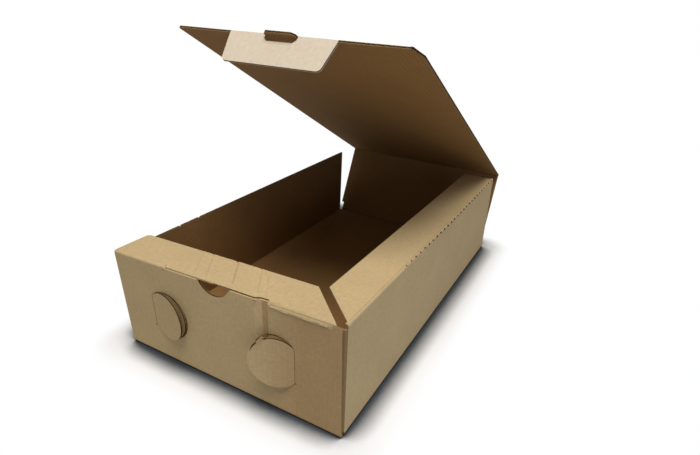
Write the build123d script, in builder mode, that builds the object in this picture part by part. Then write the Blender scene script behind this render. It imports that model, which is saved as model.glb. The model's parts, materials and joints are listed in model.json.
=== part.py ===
"""Hinged-lid box folded from one die-cut sheet of corrugated board.

The tray holds the floor, the front wall with its two push-through lock tabs, the side walls with
their corner flaps, and the front and right rims. The back panel, the lid and the tuck flap follow
it along the sheet, each on a fold of its own. Millimetres, +Z up, front wall towards -Y, origin at
the middle of the floor's underside. The box stands as it is half opened: the back panel leans back
and the lid is lifted.
"""

import os

from build123d import *

# The tray, measured outside
width = 200.0
length = 342.0
height = 86.5

# The sheet and its folds
board = 1.6
fold_inner_radius = 0.4
layer_gap = 0.3
fold_gap = 0.2

# Front wall, from the outer faces of the side walls
front_left_inset = 1.0
front_right_inset = 3.5
front_corner_across = 2.5
front_corner_down = 4.5

# Rims folded inwards along the top
front_rim_depth = 33.0
right_rim_width = 32.5
rim_back_gap = 1.0
rim_corner_radius = 3.0
left_wall_drop = 4.5

# Tuck slit and thumb notch in the front wall's top fold
closure_x = -2.5
slit_length = 91.0
slit_width = 2.2
notch_width = 28.5
notch_depth = 11.0

# Lock tabs: round tabs cut in the front wall and tongues cut in the corner flaps
tab_middle_x = -1.5
tab_crease_spacing = 129.0
tab_height = 42.5
tab_radius = 19.5
tab_crease_offset = 14.0
left_tab_angle = 10.5
right_tab_angle = 17.0
tongue_angle = 7.0
tab_root = 1.0
cut_width = 0.4

# Corner flaps behind the front wall, reaching to the ends of the tuck slit
flap_floor_gap = 2.0
flap_rim_gap = 2.0

# Back panel
panel_side_gap = 0.5
panel_lean = 24.3
relief_width = 3.0
relief_height = 10.0

# Lid
lid_side_gap = 1.5
lid_lift = 4.2
rim_lid_gap = 0.2
lid_corner_across = 4.5
lid_corner_along = 11.0
lid_corner_radius = 2.0

# Tuck flap and the lug left standing on the lid at its fold
tuck_width = 89.0
tuck_end_width = 81.0
tuck_depth = 25.0
tuck_corner_radius = 3.5
tuck_angle = 76.0
lug_width = 26.0
lug_length = 5.5
lug_corner = 2.5

# Places worked out from the sizes above
fold_radius = board + fold_inner_radius
half_width = width / 2
front_y = -length / 2
back_y = length / 2
flap_y = front_y + board + layer_gap
wall_start_y = flap_y + fold_radius
fold_end = fold_radius + layer_gap
rim_back_y = back_y - board - rim_back_gap
front_left_x = -half_width + front_left_inset
front_right_x = half_width - front_right_inset
mitre_x = front_right_x - front_corner_across
panel_width = width - 2 * board - 2 * panel_side_gap
lid_width = width - 2 * lid_side_gap
lid_underside = height + rim_lid_gap
lid_length = length - board - (slit_width - board) / 2
window_radius = tab_radius + cut_width
tongue_radius = tab_radius - cut_width
flap_bottom = board + flap_floor_gap
flap_top = height - board - flap_rim_gap
left_flap_top = flap_top - left_wall_drop

# Planes of the three hinged panels: outer face, y along the panel, z into the board
panel_plane = Plane(
    origin=(0, back_y, 0),
    x_dir=(1, 0, 0),
    z_dir=Vector(0, -1, 0).rotate(Axis.X, -panel_lean),
)
lid_plane = Plane(
    origin=panel_plane.from_local_coords(Vector(0, lid_underside + board, 0)),
    x_dir=(1, 0, 0),
    z_dir=Vector(0, 0, -1).rotate(Axis.X, -panel_lean - lid_lift),
)
tuck_plane = Plane(
    origin=lid_plane.from_local_coords(Vector(0, lid_length, 0)),
    x_dir=(1, 0, 0),
    z_dir=Vector(lid_plane.z_dir).rotate(Axis.X, tuck_angle),
)


def crease_x(side):
    """Place of a lock tab's crease across the front wall, on the left (-1) or right (1)."""
    return tab_middle_x + side * tab_crease_spacing / 2


def tab_plane(side, face_y, angle):
    """Plane of a lock tab turned outwards about its crease, x away from the crease, z outwards."""
    return Plane(
        origin=(crease_x(side), face_y, tab_height),
        x_dir=Vector(-side, 0, 0).rotate(Axis.Z, side * angle),
        z_dir=Vector(0, -1, 0).rotate(Axis.Z, side * angle),
    )


def tab_outline(radius, root, side=1):
    """Round tab cut off along its crease, sketched with x pointing away from the crease."""
    with BuildSketch(mode=Mode.PRIVATE) as outline:
        with Locations((side * tab_crease_offset, 0)):
            Circle(radius)
        reach = tab_crease_offset + 2 * radius
        with Locations((-side * root, 0)):
            Rectangle(
                reach,
                2 * radius,
                align=(Align.MIN if side > 0 else Align.MAX, Align.CENTER),
                mode=Mode.INTERSECT,
            )
    return outline.sketch


with BuildPart() as tray:
    # Floor and side walls bent from one strip, with the right wall's top fold
    with BuildSketch(Plane.XZ.offset(-back_y)):
        with BuildLine():
            FilletPolyline(
                (-half_width, height - left_wall_drop),
                (-half_width, 0),
                (half_width, 0),
                (half_width, height),
                (half_width - fold_end, height),
                radius=fold_radius,
            )
            offset(amount=board, side=Side.LEFT)
        make_face()
    extrude(amount=back_y - wall_start_y)

    # Floor's front strip and front wall bent from one strip, with the front wall's top fold
    with BuildSketch(Plane.YZ.offset(front_left_x)):
        with BuildLine():
            FilletPolyline(
                (wall_start_y + fold_radius, 0),
                (front_y, 0),
                (front_y, height),
                (front_y + fold_end, height),
                radius=fold_radius,
            )
            offset(amount=board, side=Side.RIGHT)
        make_face()
    extrude(amount=front_right_x - front_left_x)

    # Front wall's top right corner cut off, and the fold above it mitred
    with BuildSketch(Plane.XZ.offset(-front_y)):
        with BuildLine():
            Polyline(
                (mitre_x, height),
                (front_right_x, height),
                (front_right_x, height - front_corner_down),
                close=True,
            )
        make_face()
    extrude(amount=-board, mode=Mode.SUBTRACT)
    with BuildSketch(Plane.XY.offset(height - fold_radius)):
        with BuildLine():
            Polyline(
                (mitre_x, front_y),
                (front_right_x, front_y),
                (front_right_x, front_y + fold_end),
                (mitre_x - fold_end, front_y + fold_end),
                close=True,
            )
        make_face()
    extrude(amount=fold_radius, mode=Mode.SUBTRACT)

    # Rims: mitred against each other, the front one with a round corner at the left
    with BuildSketch(Plane.XY.offset(height)) as rims:
        with BuildLine():
            Polyline(
                (front_left_x, front_y + fold_radius),
                (front_left_x, front_y + front_rim_depth),
                (mitre_x - front_rim_depth, front_y + front_rim_depth),
                (mitre_x - fold_radius, front_y + fold_radius),
                close=True,
            )
        make_face()
        fillet(rims.vertices().group_by(Axis.Y)[-1].sort_by(Axis.X)[0], rim_corner_radius)
        with BuildLine():
            Polyline(
                (half_width - fold_radius, wall_start_y + fold_radius),
                (half_width - right_rim_width, wall_start_y + right_rim_width),
                (half_width - right_rim_width, rim_back_y),
                (half_width - fold_radius, rim_back_y),
                close=True,
            )
        make_face()
    extrude(amount=-board)

    # Right wall's top fold cut back clear of the back panel
    with BuildSketch(Plane.XY.offset(height)):
        with Locations((half_width - fold_radius, back_y)):
            Rectangle(fold_radius, back_y - rim_back_y, align=(Align.MAX, Align.MAX))
    extrude(amount=-fold_radius, mode=Mode.SUBTRACT)

    # Corner flaps bent inwards from the side walls, each with its window for the tongue
    for side, top in ((-1, left_flap_top), (1, flap_top)):
        with BuildSketch(Plane.XY.offset(flap_bottom)):
            with BuildLine():
                FilletPolyline(
                    (side * half_width, wall_start_y + fold_radius),
                    (side * half_width, flap_y),
                    (closure_x + side * slit_length / 2, flap_y),
                    radius=fold_radius,
                )
                offset(amount=board, side=Side.LEFT if side < 0 else Side.RIGHT)
            make_face()
        extrude(amount=top - flap_bottom)
        with BuildSketch(Plane.XZ.offset(-flap_y)):
            with Locations((crease_x(side), tab_height)):
                add(tab_outline(window_radius, 0, -side))
        extrude(amount=-board, mode=Mode.SUBTRACT)

        # Window in the front wall
        with BuildSketch(Plane.XZ.offset(-front_y)):
            with Locations((crease_x(side), tab_height)):
                add(tab_outline(window_radius, 0, -side))
        extrude(amount=-board, mode=Mode.SUBTRACT)

    # Front wall's tabs and the tongues that lie behind them, pushed out through the windows
    for side, tab_angle in ((-1, left_tab_angle), (1, right_tab_angle)):
        for face_y, radius, angle in ((front_y, tab_radius, tab_angle), (flap_y, tongue_radius, tongue_angle)):
            with BuildSketch(tab_plane(side, face_y, angle)):
                add(tab_outline(radius, tab_root))
            extrude(amount=-board)

    # Tuck slit behind the front wall's top edge, and the thumb notch in that edge
    with BuildSketch(Plane.XY.offset(height - fold_radius)):
        with Locations((closure_x, front_y + board)):
            Rectangle(slit_length, slit_width, align=(Align.CENTER, Align.MIN))
    extrude(amount=fold_radius, mode=Mode.SUBTRACT)
    notch_radius = (notch_width**2 / 4 + notch_depth**2) / (2 * notch_depth)
    with BuildSketch(Plane.XZ.offset(-front_y)):
        with Locations((closure_x, height - notch_depth + notch_radius)):
            Circle(notch_radius)
    extrude(amount=-board, mode=Mode.SUBTRACT)

tray.part.label = "tray"


with BuildPart() as back_panel:
    with BuildSketch(panel_plane):
        with Locations((0, board + fold_gap)):
            Rectangle(panel_width, lid_underside - board - 2 * fold_gap, align=(Align.CENTER, Align.MIN))
        # Relief notches at the floor's corners
        with Locations((-panel_width / 2, board + fold_gap)):
            Rectangle(relief_width, relief_height, align=(Align.MIN, Align.MIN), mode=Mode.SUBTRACT)
        with Locations((panel_width / 2, board + fold_gap)):
            Rectangle(relief_width, relief_height, align=(Align.MAX, Align.MIN), mode=Mode.SUBTRACT)
    extrude(amount=board)

back_panel.part.label = "back_panel"


def lug_outline(grow):
    """Lug with both free corners cut off, standing on the tuck fold and pointing along the sheet."""
    half = lug_width / 2 + grow
    end = lug_length + grow
    with BuildSketch(mode=Mode.PRIVATE) as outline:
        with BuildLine():
            Polyline(
                (-half, 0),
                (-half, end - lug_corner),
                (-half + lug_corner, end),
                (half - lug_corner, end),
                (half, end - lug_corner),
                (half, 0),
                close=True,
            )
        make_face()
    return outline.sketch


with BuildPart() as lid:
    with BuildSketch(lid_plane):
        # Panel with one corner cut off at the free edge
        with BuildLine():
            Polyline(
                (-lid_width / 2, 0),
                (-lid_width / 2, lid_length),
                (lid_width / 2 - lid_corner_across, lid_length),
                (lid_width / 2, lid_length - lid_corner_along),
                (lid_width / 2, 0),
                close=True,
            )
        make_face()
        with Locations((closure_x, lid_length)):
            add(lug_outline(0))
    extrude(amount=board)
    left_corner = lid.edges().filter_by(Axis((0, 0, 0), lid_plane.z_dir)).sort_by(Axis.X)[0:2]
    fillet(left_corner.sort_by(Axis.Z)[-1], lid_corner_radius)

lid.part.label = "lid"


with BuildPart() as tuck_flap:
    with BuildSketch(tuck_plane) as tuck_face:
        with BuildLine():
            Polyline(
                (closure_x - tuck_width / 2, board + fold_gap),
                (closure_x + tuck_width / 2, board + fold_gap),
                (closure_x + tuck_end_width / 2, tuck_depth),
                (closure_x - tuck_end_width / 2, tuck_depth),
                close=True,
            )
        make_face()
        fillet(tuck_face.vertices().group_by(Axis.Y)[-1], tuck_corner_radius)
        # Slot that the lug was cut from
        with Locations((closure_x, 0)):
            add(lug_outline(cut_width), mode=Mode.SUBTRACT)
    extrude(amount=board)

tuck_flap.part.label = "tuck_flap"


os.makedirs("parts", exist_ok=True)
for piece in (tray, back_panel, lid, tuck_flap):
    export_step(piece.part, f"parts/{piece.part.label}.step")
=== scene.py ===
"""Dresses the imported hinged-lid box as plain brown corrugated board, and sets its studio stage."""

import json
import math
import random

import bmesh
import bpy
from mathutils import Matrix, Vector
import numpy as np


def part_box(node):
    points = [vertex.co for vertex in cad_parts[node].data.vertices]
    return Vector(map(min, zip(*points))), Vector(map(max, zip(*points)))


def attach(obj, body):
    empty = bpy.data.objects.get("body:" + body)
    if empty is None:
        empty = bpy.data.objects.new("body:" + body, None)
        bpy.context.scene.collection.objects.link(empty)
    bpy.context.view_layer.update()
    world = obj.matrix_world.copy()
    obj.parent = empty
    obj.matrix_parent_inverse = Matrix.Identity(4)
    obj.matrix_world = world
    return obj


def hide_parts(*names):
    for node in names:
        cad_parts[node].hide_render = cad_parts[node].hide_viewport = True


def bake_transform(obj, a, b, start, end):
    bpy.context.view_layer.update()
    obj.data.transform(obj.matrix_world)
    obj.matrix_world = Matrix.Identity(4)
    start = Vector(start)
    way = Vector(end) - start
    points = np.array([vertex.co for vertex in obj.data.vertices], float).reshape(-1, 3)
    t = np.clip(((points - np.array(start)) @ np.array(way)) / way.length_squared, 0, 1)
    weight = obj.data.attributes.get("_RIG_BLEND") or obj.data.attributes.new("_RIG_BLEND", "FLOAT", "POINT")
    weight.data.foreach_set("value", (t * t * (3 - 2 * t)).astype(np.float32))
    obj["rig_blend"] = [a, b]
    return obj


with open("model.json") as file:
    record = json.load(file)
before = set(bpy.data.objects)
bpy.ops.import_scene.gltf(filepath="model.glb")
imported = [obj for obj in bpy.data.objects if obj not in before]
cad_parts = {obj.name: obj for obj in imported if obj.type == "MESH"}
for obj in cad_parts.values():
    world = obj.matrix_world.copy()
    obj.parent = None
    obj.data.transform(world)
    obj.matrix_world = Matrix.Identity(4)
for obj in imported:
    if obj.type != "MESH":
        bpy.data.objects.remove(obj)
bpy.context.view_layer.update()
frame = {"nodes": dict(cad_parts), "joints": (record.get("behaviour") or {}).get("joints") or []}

bl_info = {
    "name": "Corrugated hinged-lid box",
    "version": (1, 0, 0),
    "blender": (4, 5, 0),
    "location": "3D View > Sidebar > Box",
    "description": "Corrugated board, cut edges, folds and perforations for a die-cut box",
    "category": "Object",
}


def linear(hex_colour):
    """Linear RGB of an sRGB hex colour."""
    channels = (int(hex_colour[i:i + 2], 16) / 255 for i in (0, 2, 4))
    return tuple(c / 12.92 if c <= 0.04045 else ((c + 0.055) / 1.055) ** 2.4 for c in channels)


# Directions in the shared frame
ACROSS = Vector((1, 0, 0))
BACKWARDS = Vector((0, 1, 0))
FORWARDS = Vector((0, -1, 0))
UP = Vector((0, 0, 1))

# The sheet's folds and directions at rest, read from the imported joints
FOLDS = {joint["name"]: joint for joint in frame["joints"]}
QUARTER = Matrix.Rotation(math.pi / 2, 3, "X")
PANEL_FOLD = Vector(FOLDS["back_panel_fold"]["pos_m"])
LID_FOLD = Vector(FOLDS["lid_fold"]["pos_m"])
TUCK_FOLD = Vector(FOLDS["tuck_fold"]["pos_m"])
PANEL_ALONG = (LID_FOLD - PANEL_FOLD).normalized()
LID_ALONG = (TUCK_FOLD - LID_FOLD).normalized()
TUCK_ALONG = Matrix.Rotation(math.radians(-FOLDS["tuck_fold"]["range_deg"][0]), 3, "X") @ LID_ALONG
PANEL_IN, LID_IN, TUCK_IN = (QUARTER @ along for along in (PANEL_ALONG, LID_ALONG, TUCK_ALONG))

# Places on the solids, in metres
TRAY_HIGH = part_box("tray")[1]
HEIGHT = TRAY_HIGH.z
BACK_Y = TRAY_HIGH.y
FRONT_Y = -BACK_Y
HALF_WIDTH = TRAY_HIGH.x
LEFT_WALL_TOP = HEIGHT - 0.0045
FRONT_RIM_Y = FRONT_Y + 0.033
RIGHT_RIM_X = HALF_WIDTH - 0.0325
FOLD_RADIUS = 0.002
LEDGE = HEIGHT - FOLD_RADIUS
RECESS_X, RECESS_END_X = 0.0955, 0.0966
LID_HALF, LID_CORNER_ACROSS, LID_CORNER_ALONG = 0.0985, 0.0045, 0.011
LID_RIGHT_X = LID_HALF - LID_CORNER_ACROSS
CLOSURE_X = -0.0025
SLIT_LEFT, SLIT_RIGHT = CLOSURE_X - 0.0455, CLOSURE_X + 0.0455
SLIT_BACK_Y = FRONT_Y + 0.0038
TUCK_HALF, TUCK_END_HALF, TUCK_DEPTH = 0.0445, 0.0405, 0.025
LUG_HALF, LUG_LENGTH, LUG_CUT = 0.013, 0.0055, 0.0004
TAB_CREASES = (-0.066, 0.063)
TAB_HEIGHT, TAB_CHORD = 0.0425, 0.0136
CRUSHED_X, CRUSHED_Y = 0.088, FRONT_Y + 0.012

# How near a point counts as lying on a line, and a margin thinner than the paper
ON_LINE, HAIR = 1e-5, 0.0001

# Thin measures: core paper and its inset, a recess wall's slope, a cut's rise, a crease's paper and lift
CORE_PAPER, RIBBON_INSET, RECESS_SLOPE = 0.00016, 0.00008, 0.00002
LENS_RISE, SCORE_PAPER, SCORE_LIFT = 0.00012, 0.00005, 0.00001

# Creases pressed across the front rim: x at the rim's free edge, lean in radians, width, depth, painted
# shade in the bed
RIM_CREASES = (
    (-0.041, 0.56, 0.0014, 0.0002, 0.15),
    (-0.031, 0.56, 0.0018, 0.0003, 0.3),
    (-0.008, 0.56, 0.0022, 0.0004, 0.5),
    (0.0135, 0.55, 0.0018, 0.0003, 0.25),
    (0.020, 0.57, 0.0014, 0.0002, 0.15),
)

# Nicks in the left wall's top edge: y and depth
WALL_NICKS = ((-0.105, 0.0012), (-0.083, 0.0014))

# Tufts of torn fibres: x, drop below the top, length and width at the slit; y, length and width on the
# left wall; run along the cut, length and width at the lid's corner
SLIT_TUFTS = (
    (-0.0485, 0.0019, 0.0034, 0.0016), (0.0325, 0.0018, 0.0036, 0.0014), (0.0442, 0.0020, 0.0032, 0.0018))
WALL_TUFTS = ((-0.110, 0.0022, 0.0012), (-0.096, 0.0020, 0.0010))
CORNER_TUFTS = (
    (0.000, 0.0040, 0.0022), (0.004, 0.0036, 0.0026), (0.0075, 0.0042, 0.0020), (0.011, 0.003, 0.0018))

# Dashes along the swollen fold beside the slit: x, length and drop below the top
FOLD_DASHES = (
    (0.044, 0.007, 0.0030), (0.053, 0.006, 0.0036), (0.069, 0.009, 0.0034), (0.081, 0.007, 0.0033))

# Studio softboxes: name, place, size in metres, watts and colour
SOFTBOXES = (
    ("key_softbox", Vector((0.16, -0.37, 1.22)), 0.62, 12.8, "FFFDFA"),
    ("side_softbox", Vector((0.66, -0.29, 0.14)), 0.4, 0.75, "D2E2FF"),
)
LIGHT_AIM = Vector((0, 0, 0.06))
FLOOR_HALF, FLOOR_DROP = 6.0, 0.0003

# Camera solved for the box's corners: place in metres, angles in degrees, lens and sensor in mm
CAMERA_PLACE = (0.213798, -0.389139, 0.269106)
CAMERA_TURN, CAMERA_PITCH, CAMERA_ROLL = 27.808, 24.737, 2.790
CAMERA_LENS, CAMERA_SENSOR = 25.885, 36.0

# The sheet's finishes and their indices
FINISHES = (
    "kraft_liner_outer", "kraft_liner_inner", "kraft_liner_darker_fold", "kraft_liner_scuffed_and_sheen",
    "kraft_cut_edge", "kraft_flute_core_and_shade", "kraft_cut_shadow")
OUTER, INNER, FOLD, SCUFF_AND_SHEEN, CUT, CORE_AND_SHADE, GAP = range(len(FINISHES))


class BoardSizes(bpy.types.PropertyGroup):
    """Sizes of the corrugated board that the solids don't show."""

    board: bpy.props.FloatProperty(
        name="Board", description="Thickness of the corrugated board", default=0.0016, unit="LENGTH")
    liner: bpy.props.FloatProperty(
        name="Liner", description="Width of a paper liner at a cut edge", default=0.00035, unit="LENGTH")
    core_depth: bpy.props.FloatProperty(
        name="Core depth", description="How far the core lies behind a cut edge",
        default=0.0008, unit="LENGTH")
    flute_pitch: bpy.props.FloatProperty(
        name="Flute pitch", description="Distance from one flute to the next",
        default=0.0034, unit="LENGTH")
    flute_rise: bpy.props.FloatProperty(
        name="Flute rise", description="Half the height of a flute's wave", default=0.0004, unit="LENGTH")
    fold_gap: bpy.props.FloatProperty(
        name="Fold gap", description="Clearance left at each fold of the solids",
        default=0.0002, unit="LENGTH")
    perforation_pitch: bpy.props.FloatProperty(
        name="Perforation pitch", description="Distance between perforation cuts",
        default=0.0092, unit="LENGTH")
    perforation_length: bpy.props.FloatProperty(
        name="Perforation length", description="Length of one perforation cut",
        default=0.0032, unit="LENGTH")
    perforation_width: bpy.props.FloatProperty(
        name="Perforation width", description="Width of one perforation cut",
        default=0.0018, unit="LENGTH")
    groove_depth: bpy.props.FloatProperty(
        name="Groove depth", description="Sink of the front wall beside the right corner flap",
        default=0.0022, unit="LENGTH")


class BoardColours(bpy.types.PropertyGroup):
    """Colours of the sheet and its cuts."""

    outer: bpy.props.FloatVectorProperty(
        name="Outer liner", description="Outer kraft liner", subtype="COLOR", default=linear("C6AD81"))
    inner: bpy.props.FloatVectorProperty(
        name="Inner liner", description="Inner kraft liner", subtype="COLOR", default=linear("926E43"))
    # Darker, more golden liner on rounded folds; in the front wall's groove it is painted shade
    fold: bpy.props.FloatVectorProperty(
        name="Darker fold", description="Darker liner on rounded folds, and painted shade in the groove", subtype="COLOR",
        default=linear("B7986A"))
    # Pale liner of the tuck flap: partly rubbed wear, partly painted sheen where the light glares on the
    # flap
    scuff_and_sheen: bpy.props.FloatVectorProperty(
        name="Scuffed liner and painted sheen", description="Liner rubbed pale, with painted sheen", subtype="COLOR", default=linear("D4C5AF"))
    cut: bpy.props.FloatVectorProperty(
        name="Cut liner", description="Liner at a cut edge", subtype="COLOR", default=linear("8F7550"))
    # Core: partly the core paper, partly painted shade between the flutes
    core: bpy.props.FloatVectorProperty(
        name="Core", description="Fluted core paper, partly painted shade between the flutes", subtype="COLOR", default=linear("3F2D1B"))
    gap: bpy.props.FloatVectorProperty(
        name="Cuts", description="Inside of a perforation cut", subtype="COLOR", default=linear("35261A"))


def ease(run):
    """A smooth step from 0 to 1, level at both ends."""
    run = min(1.0, max(0.0, run))
    return run * run * (3 - 2 * run)


def add_node(tree, kind, inputs, **settings):
    """Adds a node, sets its settings, and sets or links its inputs."""
    node = tree.nodes.new(kind)
    for name, value in settings.items():
        setattr(node, name, value)
    for name, value in inputs.items():
        if isinstance(value, bpy.types.NodeSocket):
            tree.links.new(value, node.inputs[name])
        else:
            node.inputs[name].default_value = value
    return node


def new_material(name):
    """An empty node material and its tree."""
    material = bpy.data.materials.new(name)
    material.use_nodes = True
    material.node_tree.nodes.clear()
    return material, material.node_tree


def shade(tree, surface):
    """Joins a shader to the material's output."""
    add_node(tree, "ShaderNodeOutputMaterial", {"Surface": surface})


def seen_directly(tree):
    """A mask that is 1 for rays from the camera, straight, mirrored or through glass."""
    path = add_node(tree, "ShaderNodeLightPath", {})
    mirrored = add_node(tree, "ShaderNodeMath", {
        0: path.outputs["Is Glossy Ray"], 1: path.outputs["Is Transmission Ray"]}, operation="MAXIMUM")
    seen = add_node(tree, "ShaderNodeMath", {
        0: path.outputs["Is Camera Ray"], 1: mirrored.outputs["Value"]}, operation="MAXIMUM")
    return seen.outputs["Value"]


def kraft_liner(name, colour, flute_show, contrast, gloss):
    """Kraft liner paper: unbleached pulp, matt, cloudy and flecked, with the flutes showing faintly."""
    sizes = bpy.context.scene.box_sizes
    material, tree = new_material(name)
    sheet = add_node(tree, "ShaderNodeUVMap", {}, uv_map="sheet").outputs["UV"]
    # Clouds of pulp about 35 mm and 3 mm across
    clouds = add_node(tree, "ShaderNodeTexNoise", {
        "Vector": sheet, "Scale": 1 / 0.035, "Detail": 3.0, "Roughness": 0.5})
    pulp = add_node(tree, "ShaderNodeTexNoise", {
        "Vector": sheet, "Scale": 1 / 0.003, "Detail": 4.0, "Roughness": 0.6})
    # Fibres about 1.6 mm wide and 6 mm long: real ones are finer, drawn as coarse as they need to show
    laid = add_node(tree, "ShaderNodeMapping", {
        "Vector": sheet, "Rotation": (0, 0, 0.12), "Scale": (1 / 0.0016, 1 / 0.006, 1)})
    fibres = add_node(tree, "ShaderNodeTexNoise", {
        "Vector": laid.outputs["Vector"], "Scale": 1.0, "Detail": 2.0})
    # Flutes showing through the liner, one wave for each flute
    flutes = add_node(tree, "ShaderNodeTexWave", {
        "Vector": sheet, "Scale": math.tau / 20 / sizes.flute_pitch, "Distortion": 0.4, "Detail": 1.0,
        "Detail Scale": 0.3}, wave_type="BANDS", bands_direction="X", wave_profile="SIN")
    # Dark flecks of bark about 1 mm across
    flecks = add_node(tree, "ShaderNodeTexNoise", {"Vector": sheet, "Scale": 1 / 0.0016, "Detail": 1.0})
    fleck = add_node(tree, "ShaderNodeMapRange", {
        "Value": flecks.outputs["Fac"], "From Min": 0.7, "From Max": 0.78, "To Min": 0.0, "To Max": 0.35})
    cloudy = add_node(tree, "ShaderNodeMath", {
        0: clouds.outputs["Fac"], 1: 0.5, 2: pulp.outputs["Fac"]}, operation="MULTIPLY_ADD")
    grained = add_node(tree, "ShaderNodeMath", {
        0: fibres.outputs["Fac"], 1: 0.2, 2: cloudy.outputs["Value"]}, operation="MULTIPLY_ADD")
    washboard = add_node(tree, "ShaderNodeMath", {
        0: flutes.outputs["Fac"], 1: flute_show, 2: grained.outputs["Value"]}, operation="MULTIPLY_ADD")
    middle = 0.85 + flute_show / 2
    tone = add_node(tree, "ShaderNodeMapRange", {
        "Value": washboard.outputs["Value"], "From Min": middle - 0.45, "From Max": middle + 0.45})
    dark = tuple(c * (1 - contrast) for c in colour)
    pale = tuple(min(1.0, c * (1 + contrast)) for c in colour)
    paper = add_node(tree, "ShaderNodeMix", {
        "Factor": tone.outputs["Result"], "A": (*dark, 1), "B": (*pale, 1)}, data_type="RGBA")
    flecked = add_node(tree, "ShaderNodeMix", {
        "Factor": fleck.outputs["Result"], "A": paper.outputs["Result"],
        "B": (*(c * 0.45 for c in colour), 1)}, data_type="RGBA")
    # Darker and browner where the mesh's darkening attribute says: painted shade in the rim's creases, and
    # the front wall's right part
    darkening = add_node(tree, "ShaderNodeAttribute", {}, attribute_name="darkening")
    darkened = add_node(tree, "ShaderNodeMix", {
        "Factor": darkening.outputs["Fac"], "A": flecked.outputs["Result"], "B": (0.76, 0.69, 0.63, 1)},
        data_type="RGBA", blend_type="MULTIPLY")
    rough = add_node(tree, "ShaderNodeMapRange", {
        "Value": pulp.outputs["Fac"], "From Min": 0.3, "From Max": 0.7, "To Min": 0.68, "To Max": 0.82})
    ribs = add_node(tree, "ShaderNodeBump", {
        "Height": flutes.outputs["Fac"], "Distance": 0.00005, "Strength": 0.6})
    tooth = add_node(tree, "ShaderNodeBump", {
        "Height": grained.outputs["Value"], "Distance": 0.0001, "Strength": 0.5,
        "Normal": ribs.outputs["Normal"]})
    surface = add_node(tree, "ShaderNodeBsdfPrincipled", {
        "Base Color": darkened.outputs["Result"], "Roughness": rough.outputs["Result"], "IOR": 1.47,
        "Specular IOR Level": gloss, "Normal": tooth.outputs["Normal"]})
    shade(tree, surface.outputs["BSDF"])
    return material


def torn_paper(name, colour, fibre_length):
    """Cut or torn paper: a matt felt of loose fibres, uneven in tone."""
    material, tree = new_material(name)
    place = add_node(tree, "ShaderNodeTexCoord", {}).outputs["Object"]
    felt = add_node(tree, "ShaderNodeTexNoise", {
        "Vector": place, "Scale": 1 / fibre_length, "Detail": 3.0})
    paper = add_node(tree, "ShaderNodeMix", {
        "Factor": felt.outputs["Fac"], "A": (*(c * 0.6 for c in colour), 1),
        "B": (*(min(1.0, c * 1.35) for c in colour), 1)}, data_type="RGBA")
    tooth = add_node(tree, "ShaderNodeBump", {
        "Height": felt.outputs["Fac"], "Distance": 0.0002, "Strength": 0.7})
    surface = add_node(tree, "ShaderNodeBsdfPrincipled", {
        "Base Color": paper.outputs["Result"], "Roughness": 0.95, "IOR": 1.47, "Specular IOR Level": 0.15,
        "Normal": tooth.outputs["Normal"]})
    shade(tree, surface.outputs["BSDF"])
    return material


def board_materials():
    """The sheet's finishes, in the order of their indices."""
    found = [bpy.data.materials.get(name) for name in FINISHES]
    if all(found):
        return found
    colours = bpy.context.scene.box_colours
    return [
        kraft_liner(FINISHES[OUTER], tuple(colours.outer), flute_show=0.05, contrast=0.17, gloss=0.2),
        kraft_liner(FINISHES[INNER], tuple(colours.inner), flute_show=0.20, contrast=0.20, gloss=0.08),
        kraft_liner(FINISHES[FOLD], tuple(colours.fold), flute_show=0.0, contrast=0.16, gloss=0.2),
        kraft_liner(FINISHES[SCUFF_AND_SHEEN], tuple(colours.scuff_and_sheen), flute_show=0.0, contrast=0.14, gloss=0.2),
        torn_paper(FINISHES[CUT], tuple(colours.cut), fibre_length=0.0009),
        torn_paper(FINISHES[CORE_AND_SHADE], tuple(colours.core), fibre_length=0.0012),
        torn_paper(FINISHES[GAP], tuple(colours.gap), fibre_length=0.0010),
    ]


def make_piece(bm, name):
    """Turns a bmesh into an object at the origin with the sheet's finishes."""
    mesh = bpy.data.meshes.new(name)
    bm.to_mesh(mesh)
    bm.free()
    for material in board_materials():
        mesh.materials.append(material)
    piece = bpy.data.objects.new(name, mesh)
    bpy.context.scene.collection.objects.link(piece)
    return piece


def cad_copy(node):
    """A copy of a CAD node's mesh with its triangles joined into whole panels again."""
    bm = bmesh.new()
    bm.from_mesh(frame["nodes"][node].data)
    bmesh.ops.remove_doubles(bm, verts=bm.verts[:], dist=2e-6)
    bmesh.ops.dissolve_limit(bm, angle_limit=math.radians(0.5), verts=bm.verts[:], edges=bm.edges[:])
    return bm


def made_faces(made):
    """The faces of a shape that an operator has just made, in a steady order."""
    return list(dict.fromkeys(face for vert in made["verts"] for face in vert.link_faces))


def swap_finish(face, swaps):
    """Gives a face another finish where the table names its own."""
    face.material_index = swaps.get(face.material_index, face.material_index)


def is_narrow(face, board):
    """Whether a face is no wider than the board is thick."""
    return 2 * face.calc_area() < 1.02 * board * face.calc_perimeter()


def is_bent(face, board):
    """Whether a long side of a face runs on smoothly into the next face, as in a rounded fold."""
    smooth = math.radians(50)
    return any(
        edge.calc_length() > 2 * board and edge.calc_face_angle(0.0) < smooth for edge in face.edges)


def is_lightened_mitre(face):
    """Whether a face is the right rim's mitre, whose cut edge lies in shade: it takes the pale outer liner,
    as painted light.
    """
    return face.calc_center_median().z > LEDGE and max(face.normal.x, face.normal.y) < -0.3


def in_crushed_corner(point):
    """Whether a point lies at the front wall's right edge, where the cut board is crushed shut."""
    return point.x > CRUSHED_X and point.y < CRUSHED_Y


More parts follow.
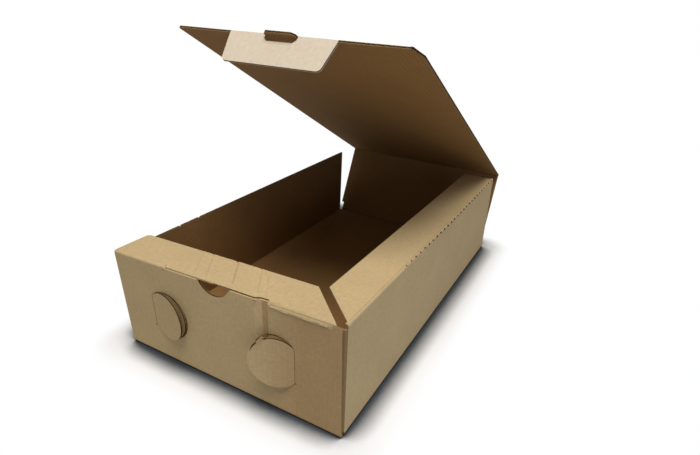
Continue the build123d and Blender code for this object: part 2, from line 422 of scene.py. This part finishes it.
def open_cut_edges(bm, sizes):
    """Gives the sheet's cut edges two liners with the core lying back between them, but for crushed ones.
    The core's dark finish is partly the core paper, partly painted shade between the flutes.
    """
    cut = []
    for face in bm.faces:
        if not is_narrow(face, sizes.board) or is_bent(face, sizes.board):
            continue
        # Painted light: the mitre's shaded cut edge takes the pale outer liner
        if is_lightened_mitre(face):
            face.material_index = OUTER
        elif in_crushed_corner(face.calc_center_median()):
            face.material_index = CUT
        else:
            face.material_index = CORE_AND_SHADE
            cut.append(face)
    liners = bmesh.ops.inset_region(
        bm, faces=cut, use_boundary=True, thickness=sizes.liner, depth=0.0)
    for face in liners["faces"]:
        face.material_index = CUT
    walls = bmesh.ops.inset_region(
        bm, faces=cut, use_boundary=True, thickness=RECESS_SLOPE, depth=-sizes.core_depth)
    for face in walls["faces"]:
        face.material_index = CORE_AND_SHADE
    # No recess reaches below the floor
    for vert in bm.verts:
        if vert.co.y < BACK_Y:
            vert.co.z = max(vert.co.z, 0.0)


def lay_sheet_map(bm, sheet_place):
    """Writes each corner's place on the flat sheet, in metres, across and along the flutes."""
    layer = bm.loops.layers.uv.new("sheet")
    for face in bm.faces:
        for loop in face.loops:
            loop[layer].uv = sheet_place(loop.vert.co, face.normal)


def tray_place(point, normal):
    """A tray point's place on the sheet: flutes run along the walls and down the front wall."""
    steep = max(range(3), key=lambda axis: abs(normal[axis]))
    return ((point.z, point.y), (point.x, point.z), (point.x, point.y))[steep]


def panel_place(fold, along):
    """The place of a flat panel's points on the sheet, measured from its fold."""
    return lambda point, normal: (point.x, (point - fold).dot(along))


def paint_faces(bm, sizes, is_inner):
    """Gives each face the outer liner, the inner liner or the darker fold finish."""
    for face in bm.faces:
        if is_inner(face):
            face.material_index = INNER
        elif is_narrow(face, sizes.board) and is_bent(face, sizes.board) and abs(face.normal.x) < 0.3:
            face.material_index = FOLD


def cut_faces(bm, chosen, normal, places):
    """Cuts the faces that are chosen with a row of parallel planes."""
    for place in places:
        parts = {}
        for face in bm.faces:
            if chosen(face):
                parts.update(dict.fromkeys((face, *face.edges, *face.verts)))
        bmesh.ops.bisect_plane(
            bm, geom=list(parts), dist=1e-6, plane_co=normal * place, plane_no=normal)


def paint_recess_shade(bm, sizes):
    """Paints shade on the corner flap's bend, which lies in the recess beside the front wall's right edge:
    the part in the recess takes the cut liner's darker finish.
    """
    inside = FRONT_Y + sizes.board + HAIR
    bend, below_top = 0.003, HEIGHT - 0.003

    def is_shaded_bend(face):
        middle = face.calc_center_median()
        in_bend = face.normal.y < -0.2 and inside < middle.y < inside + bend
        return in_bend and middle.x > 0 and middle.z < below_top

    cut_faces(bm, is_shaded_bend, ACROSS, (RECESS_X,))
    # Painted shade in the recess: the cut liner's darker finish
    for face in bm.faces:
        if is_shaded_bend(face) and face.calc_center_median().x > RECESS_X:
            face.material_index = CUT


def taper_corner(bm, sizes):
    """Draws the front wall's right cut edge towards the corner, most at the floor: the recess tapers."""
    at_floor, less_at_top = 0.0033, 0.0021
    inside = FRONT_Y + sizes.board + 0.0006
    for vert in bm.verts:
        if RECESS_X < vert.co.x < RECESS_END_X and vert.co.y < inside:
            vert.co.x += at_floor - less_at_top * vert.co.z / HEIGHT


def close_slit(bm):
    """Draws the rim's cut edge forwards over the front wall along the tuck slit, as the board lies, and
    paints that edge paler as painted light, since it lies in shade.
    """
    beside, within, margin = 0.0004, 0.0006, 0.0005
    wall_share, sag, sag_from, drawn = 0.12, 0.3, 0.0004, 0.0031
    top_z, wall_y = LEDGE - 0.0003, SLIT_BACK_Y - 0.002
    edge_y, rim_y = SLIT_BACK_Y + 0.001, SLIT_BACK_Y + 0.0018

    def is_top(face):
        middle = face.calc_center_median()
        return middle.z > top_z and middle.y < FRONT_RIM_Y + margin

    cut_faces(bm, is_top, ACROSS, (
        SLIT_LEFT - beside, SLIT_LEFT + within, CLOSURE_X, SLIT_RIGHT - within, SLIT_RIGHT + beside))
    cut_faces(bm, is_top, BACKWARDS, (rim_y,))
    for vert in bm.verts:
        place = vert.co
        if not SLIT_LEFT + margin < place.x < SLIT_RIGHT - margin or place.z < LEDGE + ON_LINE:
            continue
        if place.y < wall_y:
            place.z = LEDGE + wall_share * (place.z - LEDGE)
        elif place.y < edge_y:
            place.z -= sag * max(0.0, place.z - LEDGE - sag_from)
            place.y = min(place.y, SLIT_BACK_Y + HAIR) - drawn
    # Painted light: along the slit the rim's fold takes the outer liner, and its shaded cut edge the outer
    # liner left of the closure and the cut liner right of it
    for face in bm.faces:
        middle = face.calc_center_median()
        if middle.y < SLIT_BACK_Y and middle.z > LEDGE:
            edge = OUTER if middle.x < CLOSURE_X else CUT
            swap_finish(face, {FOLD: OUTER, CORE_AND_SHADE: edge, CUT: edge})


def sink_groove(bm, sizes):
    """Presses the front wall in beside the right corner flap, from the tuck slit down to the lock tab, and
    paints shade into the groove.
    """
    left, ledge_left, flat, step = 0.0315, 0.033, 0.0365, SLIT_RIGHT - 0.0002
    right = step - 0.0002
    foot, run_out = 0.0556, 0.001
    wall_back = FRONT_Y + sizes.board

    def is_front(face):
        middle = face.calc_center_median()
        in_wall = abs(face.normal.y) > 0.99 and middle.y < wall_back + HAIR
        return in_wall or (middle.y < wall_back and middle.z > LEDGE)

    cut_faces(bm, is_front, ACROSS, (left, ledge_left, 0.0345, flat, 0.040, step - 0.0005, step))
    cut_faces(bm, is_front, UP, (foot, foot + run_out, 0.063, 0.070, 0.079))
    for vert in bm.verts:
        x, y, z = vert.co
        if left < x < right and z > foot and y < wall_back + HAIR:
            down = min(1.0, (z - foot) / run_out)
            vert.co.y += sizes.groove_depth * ease((x - left) / (flat - left)) * down
    # Painted shade: the groove's bed takes the darker fold finish, and its run-out at the foot the cut
    # liner's finish
    for face in bm.faces:
        middle = face.calc_center_median()
        in_groove = left < middle.x < right and middle.z > foot
        if in_groove and middle.y < FRONT_Y + sizes.groove_depth + HAIR and face.normal.y < -0.5:
            if middle.z < foot + run_out and middle.x > ledge_left:
                face.material_index = CUT
            elif middle.x > flat:
                face.material_index = FOLD


def crush_rim(bm):
    """Presses the low creases that cross the front rim where the board was crushed, and paints shade into
    their beds.
    """
    rim_start, swell = FRONT_Y + 0.004, 0.00015

    def is_rim(face):
        middle = face.calc_center_median()
        return face.normal.z > 0.8 and middle.z > HEIGHT - 0.0008 and middle.y < FRONT_RIM_Y

    darkening = bm.loops.layers.float["darkening"]
    for x, lean, width, depth, bed_shade in RIM_CREASES:
        normal = Vector((math.cos(lean), math.sin(lean), 0))
        place = normal.dot(Vector((x, FRONT_RIM_Y, HEIGHT)))
        bed = 0.6 * width
        rows = {place - width: 0.0, place: depth, place + bed: -swell, place + 1.6 * width: 0.0}
        cut_faces(bm, is_rim, normal, rows)
        for vert in bm.verts:
            on_top = abs(vert.co.z - HEIGHT) < ON_LINE
            if on_top and rim_start < vert.co.y < FRONT_RIM_Y + ON_LINE:
                across = normal.dot(vert.co)
                vert.co.z -= sum(drop for row, drop in rows.items() if abs(across - row) < ON_LINE)
        # Painted shade in each crease's bed, carried by the mesh's darkening attribute
        for face in bm.faces:
            middle = face.calc_center_median()
            in_bed = 0 < normal.dot(middle) - place < bed
            if in_bed and is_rim(face) and rim_start < middle.y:
                for loop in face.loops:
                    loop[darkening] = bed_shade


def nick_left_wall(bm):
    """Tears small nicks in the left wall's top edge."""
    wall_inside, edge_low = -HALF_WIDTH + 0.003, LEFT_WALL_TOP - 0.0015
    ahead, behind = 0.0012, 0.0014

    def is_left_wall(face):
        return face.calc_center_median().x < wall_inside

    for y, depth in WALL_NICKS:
        cut_faces(bm, is_left_wall, BACKWARDS, (y - ahead, y, y + behind))
        for vert in bm.verts:
            if vert.co.x < wall_inside and abs(vert.co.y - y) < ON_LINE and vert.co.z > edge_low:
                vert.co.z -= depth


def darken_front_right(bm):
    """Marks the front wall's right part to render darker and browner, growing towards the right edge."""
    start, reach, margin = 0.028, 0.045, 0.001

    def is_front(face):
        middle = face.calc_center_median()
        return face.normal.y < -0.8 and middle.y < FRONT_Y + margin and middle.z < HEIGHT - margin

    cut_faces(bm, is_front, ACROSS, (0.048, 0.054, 0.060, 0.066, 0.072))
    darkening = bm.loops.layers.float["darkening"]
    for face in bm.faces:
        if is_front(face):
            for loop in face.loops:
                loop[darkening] = ease((loop.vert.co.x - start) / reach)


def rack_tray(bm):
    """Leans the front top edge to the left, its right end backwards, its left end forwards and down."""
    lean_from, lean_reach = 0.05, 0.188
    to_left, right_back, left_front, left_down = 0.003, 0.004, 0.003, 0.0015
    for vert in bm.verts:
        x, y, z = vert.co
        near = z / HEIGHT * ease((lean_from - y) / lean_reach)
        left, right = max(0.0, -x / HALF_WIDTH), max(0.0, x / HALF_WIDTH)
        vert.co += Vector((-to_left, right_back * right - left_front * left, -left_down * left)) * near


def add_ribbon(bm, sizes, start, along, across, inward, length):
    """One wave of core paper for each flute, standing in a cut edge."""
    waves = max(1, round(length / sizes.flute_pitch))
    made = bmesh.ops.create_grid(bm, x_segments=8 * waves, y_segments=1, size=0.5)
    for vert in made["verts"]:
        run = vert.co.x + 0.5
        wave = sizes.board / 2 + sizes.flute_rise * math.sin(math.tau * waves * run)
        deep = RIBBON_INSET + (vert.co.y + 0.5) * (sizes.core_depth - RIBBON_INSET / 2)
        vert.co = start + along * (run * length) + across * wave + inward * deep
    bm.normal_update()
    bmesh.ops.solidify(bm, geom=made_faces(made), thickness=CORE_PAPER)


def add_lens(bm, place, along, normal, length, width, finish):
    """A flat lens lying on a surface, for a cut in the board."""
    side = normal.cross(along)
    turn = Matrix((along * length, side * width, normal * LENS_RISE)).transposed().to_4x4()
    made = bmesh.ops.create_uvsphere(
        bm, u_segments=10, v_segments=6, radius=0.5, matrix=Matrix.Translation(place) @ turn)
    for face in made_faces(made):
        face.material_index = finish


def add_tuft(bm, luck, place, along, normal, length, width, finish=CUT):
    """A torn tuft of paper fibres lying on the board."""
    side = normal.cross(along)
    rise = min(length, width) * 0.5
    turn = Matrix((along * length, side * width, normal * rise)).transposed().to_4x4()
    made = bmesh.ops.create_icosphere(
        bm, subdivisions=2, radius=0.5, matrix=Matrix.Translation(place) @ turn)
    for vert in made["verts"]:
        vert.co = place + (vert.co - place) * luck.uniform(0.6, 1.25)
    for face in made_faces(made):
        face.material_index = finish


def add_score(bm, start, end, normal, width, rise, finish):
    """A creased line on the board: a low ridge that runs out over an eighth of its length at each end."""
    along = end - start
    side = normal.cross(along).normalized()
    made = bmesh.ops.create_grid(bm, x_segments=16, y_segments=4, size=0.5)
    for vert in made["verts"]:
        run, over = vert.co.x + 0.5, 2 * vert.co.y
        lift = rise * (1 - over * over) * min(1.0, 8 * run, 8 * (1 - run))
        vert.co = start + along * run + side * (over * width / 2) + normal * (lift + SCORE_LIFT)
    faces = made_faces(made)
    bm.normal_update()
    shell = bmesh.ops.solidify(bm, geom=faces, thickness=SCORE_PAPER)["geom"]
    for face in (*faces, *(part for part in shell if isinstance(part, bmesh.types.BMFace))):
        face.material_index = finish


class BOX_OT_tray(bpy.types.Operator):
    """Makes the folded tray: cut edges, closed slit, pressed groove, creases, nicks, painted shade, a darker
    front right part and lean
    """

    bl_idname = "box.tray"
    bl_label = "Tray"

    def execute(self, context):
        sizes = context.scene.box_sizes
        middle = Vector((0, 0, HEIGHT / 2))
        bm = cad_copy("tray")
        bm.loops.layers.float.new("darkening")
        paint_faces(bm, sizes, lambda face: face.normal.dot(face.calc_center_median() - middle) < 0)
        open_cut_edges(bm, sizes)
        paint_recess_shade(bm, sizes)
        taper_corner(bm, sizes)
        close_slit(bm)
        sink_groove(bm, sizes)
        crush_rim(bm)
        nick_left_wall(bm)
        bm.normal_update()
        darken_front_right(bm)
        lay_sheet_map(bm, tray_place)
        rack_tray(bm)
        piece = make_piece(bm, "folded_tray")
        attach(piece, "tray")
        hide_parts("tray")
        return {"FINISHED"}


class BOX_OT_panels(bpy.types.Operator):
    """Makes the back panel, the lid and the tuck flap, with open cut edges"""

    bl_idname = "box.panels"
    bl_label = "Hinged panels"

    def execute(self, context):
        sizes = context.scene.box_sizes
        panels = (
            ("back_panel", PANEL_FOLD, PANEL_ALONG, PANEL_IN),
            ("lid", LID_FOLD, LID_ALONG, LID_IN),
            ("tuck_flap", TUCK_FOLD, TUCK_ALONG, TUCK_IN),
        )
        for node, fold, along, inward in panels:
            bm = cad_copy(node)
            paint_faces(bm, sizes, lambda face: face.normal.dot(inward) > 0.5)
            # The tuck flap's outer face and cut edges take the pale finish: partly rubbed wear, partly
            # painted sheen
            is_rubbed_and_sheened = node == "tuck_flap"
            if is_rubbed_and_sheened:
                for face in bm.faces:
                    if face.normal.dot(inward) < -0.5:
                        face.material_index = SCUFF_AND_SHEEN
            open_cut_edges(bm, sizes)
            if is_rubbed_and_sheened:
                for face in bm.faces:
                    swap_finish(face, {CUT: SCUFF_AND_SHEEN, CORE_AND_SHADE: CUT})
            lay_sheet_map(bm, panel_place(fold, along))
            piece = make_piece(bm, f"board_{node}")
            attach(piece, node)
            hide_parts(node)
        return {"FINISHED"}


class BOX_OT_folds(bpy.types.Operator):
    """Makes the creased strips of board that join the tray, the panel, the lid and the tuck flap"""

    bl_idname = "box.folds"
    bl_label = "Fold strips"

    def execute(self, context):
        sizes = context.scene.box_sizes
        panel_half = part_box("back_panel")[1].x
        floor_half = panel_half - 0.003
        lug = LUG_HALF + LUG_CUT
        strips = (
            ("fold_floor", "tray", "back_panel", PANEL_FOLD, UP, PANEL_ALONG, PANEL_IN,
             -floor_half, floor_half),
            ("fold_lid", "lid", "back_panel", LID_FOLD, LID_IN, -PANEL_ALONG, PANEL_IN,
             -panel_half, panel_half),
            ("fold_tuck_left", "lid", "tuck_flap", TUCK_FOLD, LID_IN, TUCK_ALONG, TUCK_IN,
             CLOSURE_X - TUCK_HALF, CLOSURE_X - lug),
            ("fold_tuck_right", "lid", "tuck_flap", TUCK_FOLD, LID_IN, TUCK_ALONG, TUCK_IN,
             CLOSURE_X + lug, CLOSURE_X + TUCK_HALF),
        )
        reach = sizes.board + sizes.fold_gap
        for name, edge_body, flap_body, fold, edge_in, along, flap_in, left, right in strips:
            bm = bmesh.new()
            corners = (
                fold, fold + along * reach, fold + along * reach + flap_in * sizes.board,
                fold + edge_in * sizes.board)
            section = bm.faces.new([bm.verts.new(corner + ACROSS * left) for corner in corners])
            bm.normal_update()
            grown = bmesh.ops.extrude_face_region(bm, geom=[section])["geom"]
            far = [part for part in grown if isinstance(part, bmesh.types.BMVert)]
            bmesh.ops.translate(bm, verts=far, vec=ACROSS * (right - left))
            bmesh.ops.recalc_face_normals(bm, faces=bm.faces[:])
            # The tuck flap's side of its folds takes the same pale finish, partly painted sheen
            outer = SCUFF_AND_SHEEN if flap_body == "tuck_flap" else OUTER
            for face in bm.faces:
                is_outer = all(abs((vert.co - fold).dot(flap_in)) < 1e-6 for vert in face.verts)
                face.material_index = CUT if abs(face.normal.x) > 0.9 else outer if is_outer else INNER
            lay_sheet_map(bm, panel_place(fold, along))
            piece = make_piece(bm, name)
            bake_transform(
                piece, edge_body, flap_body, start=fold + along * (sizes.board * edge_in.dot(along)),
                end=fold + along * reach)
        return {"FINISHED"}


class BOX_OT_flutes(bpy.types.Operator):
    """Makes the waves of core paper that show where the board is cut across its flutes"""

    bl_idname = "box.flutes"
    bl_label = "Flutes"

    def execute(self, context):
        sizes = context.scene.box_sizes
        tuck_left, tuck_right = CLOSURE_X - TUCK_HALF, CLOSURE_X + TUCK_HALF
        lid_left, rim_left, right_rim_back = -LID_HALF + 0.002, -0.096, BACK_Y - 0.0026
        lug_inset, tuck_inset, wall_foot = 0.0025, 0.005, 0.003
        lug_edge = TUCK_FOLD + LID_ALONG * LUG_LENGTH
        tuck_edge = TUCK_FOLD + TUCK_ALONG * TUCK_DEPTH
        # For each body, the ribbons' start, direction, direction through the board, inward and length
        edges = {
            "lid": (
                (TUCK_FOLD + ACROSS * lid_left, ACROSS, LID_IN, -LID_ALONG, tuck_left - lid_left),
                (TUCK_FOLD + ACROSS * tuck_right, ACROSS, LID_IN, -LID_ALONG, LID_RIGHT_X - tuck_right),
                (lug_edge + ACROSS * (CLOSURE_X - LUG_HALF + lug_inset), ACROSS, LID_IN, -LID_ALONG,
                 2 * (LUG_HALF - lug_inset)),
            ),
            "tuck_flap": (
                (tuck_edge + ACROSS * (CLOSURE_X - TUCK_END_HALF + tuck_inset), ACROSS, TUCK_IN,
                 -TUCK_ALONG, 2 * (TUCK_END_HALF - tuck_inset)),
            ),
            "tray": (
                (Vector((rim_left, FRONT_RIM_Y, HEIGHT)), ACROSS, -UP, FORWARDS, 0.156),
                (Vector((-HALF_WIDTH, BACK_Y, wall_foot)), UP, ACROSS, FORWARDS, LEFT_WALL_TOP - 0.004),
                (Vector((HALF_WIDTH, BACK_Y, wall_foot)), UP, -ACROSS, FORWARDS, HEIGHT - 0.006),
                (Vector((RIGHT_RIM_X, right_rim_back, HEIGHT)), ACROSS, -UP, FORWARDS, 0.030),
            ),
        }
        for body, ribbons in edges.items():
            bm = bmesh.new()
            for start, along, across, inward, length in ribbons:
                add_ribbon(bm, sizes, start, along, across, inward, length)
            bmesh.ops.recalc_face_normals(bm, faces=bm.faces[:])
            for face in bm.faces:
                face.material_index = CUT
            if body == "tray":
                rack_tray(bm)
            piece = make_piece(bm, f"flutes_{body}")
            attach(piece, body)
        return {"FINISHED"}


class BOX_OT_cuts(bpy.types.Operator):
    """Makes the perforation cuts along the folds and the nicks at the lock tabs' creases"""

    bl_idname = "box.cuts"
    bl_label = "Perforations"

    def execute(self, context):
        sizes = context.scene.box_sizes
        luck = random.Random(7)
        bm = bmesh.new()
        turn = FOLD_RADIUS * (1 - math.sqrt(0.5))
        grow, stray = 0.10, 0.0004
        up_right = Vector((1, 0, 1)).normalized()
        down_right = Vector((1, 0, -1)).normalized()
        down_front = Vector((0, -1, -1)).normalized()
        # Each row's start, direction, normal and length, and the share of full size at its start and end
        rows = (
            (Vector((HALF_WIDTH - turn, -0.122, HEIGHT - turn)), BACKWARDS, up_right, 0.288, 0.35, 1.0),
            (Vector((HALF_WIDTH - turn, -0.160, turn)), BACKWARDS, down_right, 0.325, 0.7, 0.7),
            (Vector((-0.094, FRONT_Y + turn, turn)), ACROSS, down_front, 0.186, 0.7, 0.7),
        )
        for start, along, normal, length, first, last in rows:
            for step in range(int(length / sizes.perforation_pitch) + 1):
                run = step * sizes.perforation_pitch
                share = min(last, first + (last - first) * run / grow)
                place = start + along * (run + luck.uniform(-stray, stray))
                add_lens(
                    bm, place, along, normal, sizes.perforation_length * share * luck.uniform(0.8, 1.1),
                    sizes.perforation_width * share * luck.uniform(0.75, 1.1), GAP)
        for crease in TAB_CREASES:
            foot = Vector((crease, FRONT_Y, TAB_HEIGHT - TAB_CHORD))
            add_lens(bm, foot, ACROSS, FORWARDS, length=0.0034, width=0.0009, finish=GAP)
        rack_tray(bm)
        piece = make_piece(bm, "perforations")
        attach(piece, "tray")
        return {"FINISHED"}


class BOX_OT_creases(bpy.types.Operator):
    """Makes the lock tabs' creases, the swollen fold beside the tuck slit and the tuck flap's crease"""

    bl_idname = "box.creases"
    bl_label = "Creases"

    def execute(self, context):
        bm = bmesh.new()
        # Lock tabs' crease lines in the darker cut liner: painted shade along the creases
        for crease in TAB_CREASES:
            foot = Vector((crease, FRONT_Y, TAB_HEIGHT - TAB_CHORD))
            head = Vector((crease, FRONT_Y, TAB_HEIGHT + TAB_CHORD))
            add_score(bm, foot, head, FORWARDS, width=0.0007, rise=0.0001, finish=CUT)
        # Fold beside the tuck slit, crushed into a second, swollen line that stands out in dashes
        left = Vector((0.0435, FRONT_Y, HEIGHT - 0.0033))
        right = Vector((0.091, FRONT_Y, HEIGHT - 0.0030))
        add_score(bm, left, right, FORWARDS, width=0.003, rise=0.0006, finish=OUTER)
        for x, length, drop in FOLD_DASHES:
            left = Vector((x, FRONT_Y - 0.0003, HEIGHT - drop))
            right = left + ACROSS * length
            add_score(bm, left, right, FORWARDS, width=0.0009, rise=0.0005, finish=OUTER)
        bmesh.ops.recalc_face_normals(bm, faces=bm.faces[:])
        lay_sheet_map(bm, tray_place)
        rack_tray(bm)
        piece = make_piece(bm, "tray_creases")
        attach(piece, "tray")

        bm = bmesh.new()
        crease_x, crease_start, crease_length, slant = 0.010, 0.0068, 0.0165, 0.003
        top = TUCK_FOLD + ACROSS * crease_x + TUCK_ALONG * crease_start
        end = top + TUCK_ALONG * crease_length - ACROSS * slant
        # The tuck flap's crease in the same pale finish, partly painted sheen
        add_score(bm, top, end, -TUCK_IN, width=0.0016, rise=0.00025, finish=SCUFF_AND_SHEEN)
        bmesh.ops.recalc_face_normals(bm, faces=bm.faces[:])
        lay_sheet_map(bm, panel_place(TUCK_FOLD, TUCK_ALONG))
        piece = make_piece(bm, "tuck_crease")
        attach(piece, "tuck_flap")
        return {"FINISHED"}


class BOX_OT_tears(bpy.types.Operator):
    """Makes the torn fibres at the tuck slit, on the left wall's top and at the lid's cut corner"""

    bl_idname = "box.tears"
    bl_label = "Torn fibres"

    def execute(self, context):
        luck = random.Random(11)
        half_board = context.scene.box_sizes.board / 2
        bm = bmesh.new()
        for x, drop, length, width in SLIT_TUFTS:
            place = Vector((x, FRONT_Y, HEIGHT - drop))
            add_tuft(bm, luck, place, ACROSS, FORWARDS, length, width, OUTER)
        for y, length, width in WALL_TUFTS:
            place = Vector((-HALF_WIDTH + half_board, y, LEFT_WALL_TOP))
            add_tuft(bm, luck, place, BACKWARDS, UP, length, width)
        lay_sheet_map(bm, tray_place)
        rack_tray(bm)
        piece = make_piece(bm, "tray_torn_fibres")
        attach(piece, "tray")

        bm = bmesh.new()
        corner = TUCK_FOLD + LID_IN * half_board + ACROSS * LID_RIGHT_X
        cut = (ACROSS * LID_CORNER_ACROSS - LID_ALONG * LID_CORNER_ALONG).normalized()
        # Torn fibres at the lid's corner in the core's dark finish, partly painted shade inside the torn
        # flutes
        for run, length, width in CORNER_TUFTS:
            add_tuft(bm, luck, corner + cut * run, cut, LID_IN, length, width, CORE_AND_SHADE)
        piece = make_piece(bm, "lid_torn_corner")
        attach(piece, "lid")
        return {"FINISHED"}


class BOX_OT_stage(bpy.types.Operator):
    """Makes the floor, the lights and the camera"""

    bl_idname = "box.stage"
    bl_label = "Stage"

    def execute(self, context):
        scene = context.scene
        bm = bmesh.new()
        bmesh.ops.create_grid(bm, x_segments=1, y_segments=1, size=FLOOR_HALF)
        bmesh.ops.translate(bm, verts=bm.verts[:], vec=(0, 0, -FLOOR_DROP))
        mesh = bpy.data.meshes.new("studio_floor")
        bm.to_mesh(mesh)
        bm.free()
        mesh.materials.append(self.floor_paper())
        floor = bpy.data.objects.new("studio_floor", mesh)
        scene.collection.objects.link(floor)

        for name, place, size, watts, colour in SOFTBOXES:
            self.lamp(scene, name, place, size, watts, linear(colour))
        self.world(scene)

        lens = bpy.data.cameras.new("photo_camera")
        lens.sensor_width = CAMERA_SENSOR
        lens.sensor_fit = "HORIZONTAL"
        lens.lens = CAMERA_LENS
        lens.clip_start = 0.01
        camera = bpy.data.objects.new("photo_camera", lens)
        turn = (
            Matrix.Rotation(math.radians(CAMERA_TURN), 4, "Z")
            @ Matrix.Rotation(math.radians(90 - CAMERA_PITCH), 4, "X")
            @ Matrix.Rotation(math.radians(CAMERA_ROLL), 4, "Z")
        )
        camera.matrix_world = Matrix.Translation(CAMERA_PLACE) @ turn
        scene.collection.objects.link(camera)
        scene.camera = camera
        scene.view_settings.view_transform = "Standard"
        return {"FINISHED"}

    def lamp(self, scene, name, place, size, watts, colour):
        """A square softbox aimed at the middle of the box."""
        light = bpy.data.lights.new(name, "AREA")
        light.size = size
        light.energy = watts
        light.color = colour
        lamp = bpy.data.objects.new(name, light)
        aim = (LIGHT_AIM - place).to_track_quat("-Z", "Y").to_matrix().to_4x4()
        lamp.matrix_world = Matrix.Translation(place) @ aim
        scene.collection.objects.link(lamp)

    def world(self, scene):
        """White where the camera sees it, and a low even light on the box."""
        sky = bpy.data.worlds.new("studio_white")
        sky.use_nodes = True
        tree = sky.node_tree
        tree.nodes.clear()
        level = add_node(tree, "ShaderNodeMapRange", {
            "Value": seen_directly(tree), "To Min": 0.15, "To Max": 1.0})
        backdrop = add_node(tree, "ShaderNodeBackground", {
            "Color": (1, 1, 1, 1), "Strength": level.outputs["Result"]})
        add_node(tree, "ShaderNodeOutputWorld", {"Surface": backdrop.outputs["Background"]})
        scene.world = sky

    def floor_paper(self):
        """White studio paper: it keeps the shadow near the box, goes over to plain white further out, and
        throws little light back at the box."""
        material, tree = new_material("studio_paper")
        seen = seen_directly(tree)
        # Distance from the tray's outline on the floor
        place = add_node(tree, "ShaderNodeTexCoord", {}).outputs["Object"]
        mirrored_place = add_node(tree, "ShaderNodeVectorMath", {0: place}, operation="ABSOLUTE")
        beyond = add_node(tree, "ShaderNodeVectorMath", {
            0: mirrored_place.outputs["Vector"], 1: (HALF_WIDTH, BACK_Y, 0)}, operation="SUBTRACT")
        outside = add_node(tree, "ShaderNodeVectorMath", {
            0: beyond.outputs["Vector"], 1: (0, 0, 0)}, operation="MAXIMUM")
        reach = add_node(tree, "ShaderNodeVectorMath", {0: outside.outputs["Vector"]}, operation="LENGTH")
        far = add_node(tree, "ShaderNodeMapRange", {
            "Value": reach.outputs["Value"], "From Min": 0.010, "From Max": 0.034},
            interpolation_type="SMOOTHSTEP")
        plain = add_node(tree, "ShaderNodeMath", {0: far.outputs["Result"], 1: seen}, operation="MULTIPLY")
        # Contact shadow within 30 mm of the tray
        contact = add_node(tree, "ShaderNodeAmbientOcclusion", {"Distance": 0.03})
        open_air = add_node(tree, "ShaderNodeMapRange", {
            "Value": contact.outputs["AO"], "From Min": 0.55, "From Max": 0.87})
        shadow = add_node(tree, "ShaderNodeMix", {
            "Factor": open_air.outputs["Result"], "A": (0.04, 0.05, 0.06, 1), "B": (0.97, 0.97, 0.97, 1)},
            data_type="RGBA")
        tone = add_node(tree, "ShaderNodeMix", {
            "Factor": seen, "A": (0.58, 0.58, 0.58, 1), "B": shadow.outputs["Result"]}, data_type="RGBA")
        paper = add_node(tree, "ShaderNodeBsdfDiffuse", {"Color": tone.outputs["Result"]})
        white = add_node(tree, "ShaderNodeEmission", {"Color": (1, 1, 1, 1), "Strength": 1.0})
        mixed = add_node(tree, "ShaderNodeMixShader", {
            0: plain.outputs["Value"], 1: paper.outputs["BSDF"], 2: white.outputs["Emission"]})
        shade(tree, mixed.outputs["Shader"])
        return material


class BOX_PT_panel(bpy.types.Panel):
    """Lists the box's pieces and sizes in the sidebar"""

    bl_idname = "BOX_PT_panel"
    bl_label = "Corrugated box"
    bl_space_type = "VIEW_3D"
    bl_region_type = "UI"
    bl_category = "Box"

    def draw(self, context):
        layout = self.layout
        for group in (context.scene.box_sizes, context.scene.box_colours):
            for name in group.__annotations__:
                layout.prop(group, name)
        for operator in OPERATORS:
            layout.operator(operator.bl_idname)


OPERATORS = (
    BOX_OT_tray, BOX_OT_panels, BOX_OT_folds, BOX_OT_flutes, BOX_OT_cuts, BOX_OT_creases, BOX_OT_tears,
    BOX_OT_stage)
CLASSES = (BoardSizes, BoardColours, *OPERATORS, BOX_PT_panel)


def register():
    """Registers the classes and puts the sizes and colours on the scene."""
    for cls in CLASSES:
        bpy.utils.register_class(cls)
    bpy.types.Scene.box_sizes = bpy.props.PointerProperty(type=BoardSizes)
    bpy.types.Scene.box_colours = bpy.props.PointerProperty(type=BoardColours)


def unregister():
    """Takes the sizes and colours off the scene and the classes out again."""
    del bpy.types.Scene.box_colours
    del bpy.types.Scene.box_sizes
    for cls in reversed(CLASSES):
        bpy.utils.unregister_class(cls)


def main():
    """Builds the dressed box."""
    register()
    bpy.ops.box.tray()
    bpy.ops.box.panels()
    bpy.ops.box.folds()
    bpy.ops.box.flutes()
    bpy.ops.box.cuts()
    bpy.ops.box.creases()
    bpy.ops.box.tears()
    bpy.ops.box.stage()


if __name__ == "__main__":
    main()
